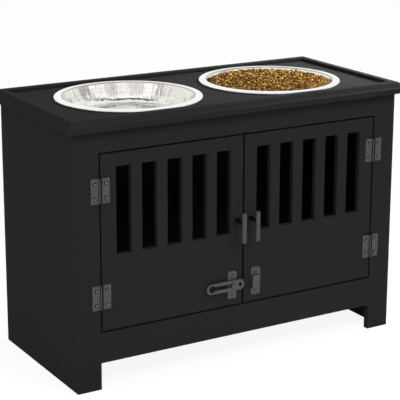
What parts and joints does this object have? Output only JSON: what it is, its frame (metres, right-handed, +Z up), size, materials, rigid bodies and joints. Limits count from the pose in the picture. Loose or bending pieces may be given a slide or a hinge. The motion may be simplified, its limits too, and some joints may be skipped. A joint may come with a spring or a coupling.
{
  "type": "elevated dog feeder with storage",
  "caption": "Black cabinet on side-panel feet with slotted hinged doors, bar handles and a bar latch, and steel bowls that lift out of its rimmed top.",
  "frame": {"origin": "on the floor, under the middle of the whole object from handle bars to back strip", "axes": "+X across the front to the right as seen from in front, +Y from the doors to the back, +Z up"},
  "size_m": [0.586, 0.2818, 0.405],
  "materials": {
    "painted_board": "satin black paint on fibreboard",
    "bare_wood": "bare softwood",
    "hardware_metal": "dark grey powder coat",
    "screw_steel": "zinc plated",
    "bowl_steel": "polished stainless steel",
    "dry_food": "baked pellets"
  },
  "bodies": {
    "cabinet": {"side_panel_left": "painted_board", "side_panel_right": "painted_board", "stile_left": "painted_board", "stile_right": "painted_board", "top_rail": "painted_board", "apron": "painted_board", "back_panel": "painted_board", "bottom_panel": "painted_board", "stop_rail": "bare_wood", "rear_rail": "bare_wood", "cleat_left": "bare_wood", "cleat_right": "bare_wood", "top_board": "painted_board", "moulding_front": "painted_board", "moulding_left": "painted_board", "moulding_right": "painted_board", "moulding_back": "painted_board", "dowels": "bare_wood", "cleat_screws": "screw_steel", "back_screws": "screw_steel", "hinge_leaf_frame_left_upper": "hardware_metal", "hinge_leaf_frame_left_lower": "hardware_metal", "hinge_leaf_frame_right_upper": "hardware_metal", "hinge_leaf_frame_right_lower": "hardware_metal", "hinge_pins": "hardware_metal", "frame_hinge_screws": "hardware_metal"},
    "left_door": {"door_left": "painted_board", "hinge_leaf_door_left_upper": "hardware_metal", "hinge_leaf_door_left_lower": "hardware_metal", "left_door_hinge_screws": "hardware_metal", "handle_bar_left": "hardware_metal", "handle_post_left": "hardware_metal", "handle_screw_left": "hardware_metal", "latch_plate": "hardware_metal", "latch_plate_screws": "hardware_metal"},
    "right_door": {"door_right": "painted_board", "hinge_leaf_door_right_upper": "hardware_metal", "hinge_leaf_door_right_lower": "hardware_metal", "right_door_hinge_screws": "hardware_metal", "handle_bar_right": "hardware_metal", "handle_post_right": "hardware_metal", "handle_screw_right": "hardware_metal", "latch_keeper": "hardware_metal", "latch_keeper_screws": "hardware_metal"},
    "latch_stud": {"latch_stud": "hardware_metal"},
    "latch_bar": {"latch_bar": "hardware_metal"},
    "left_bowl": {"bowl_left": "bowl_steel"},
    "right_bowl": {"bowl_right": "bowl_steel", "food_fill": "dry_food"}
  },
  "joints": [
    {"name": "left_door_hinge", "type": "hinge", "parent": "cabinet", "child": "left_door", "pos_m": [-0.24025, -0.1185, 0.221], "axis": [0, 0, -1], "range_deg": [0, 170]},
    {"name": "right_door_hinge", "type": "hinge", "parent": "cabinet", "child": "right_door", "pos_m": [0.24025, -0.1185, 0.221], "axis": [0, 0, 1], "range_deg": [0, 170]},
    {"name": "latch_swing", "type": "hinge", "parent": "left_door", "child": "latch_stud", "pos_m": [-0.02, -0.1212, 0.122], "axis": [0, 1, 0], "range_deg": [-90, 90]},
    {"name": "latch_slide", "type": "slide", "parent": "latch_stud", "child": "latch_bar", "axis": [1, 0, 0], "range_m": [0, 0.037]},
    {"name": "left_bowl_lift", "type": "slide", "parent": "cabinet", "child": "left_bowl", "axis": [0, 0, 1], "range_m": [0, 0.12]},
    {"name": "right_bowl_lift", "type": "slide", "parent": "cabinet", "child": "right_bowl", "axis": [0, 0, 1], "range_m": [0, 0.12]}
  ]
}
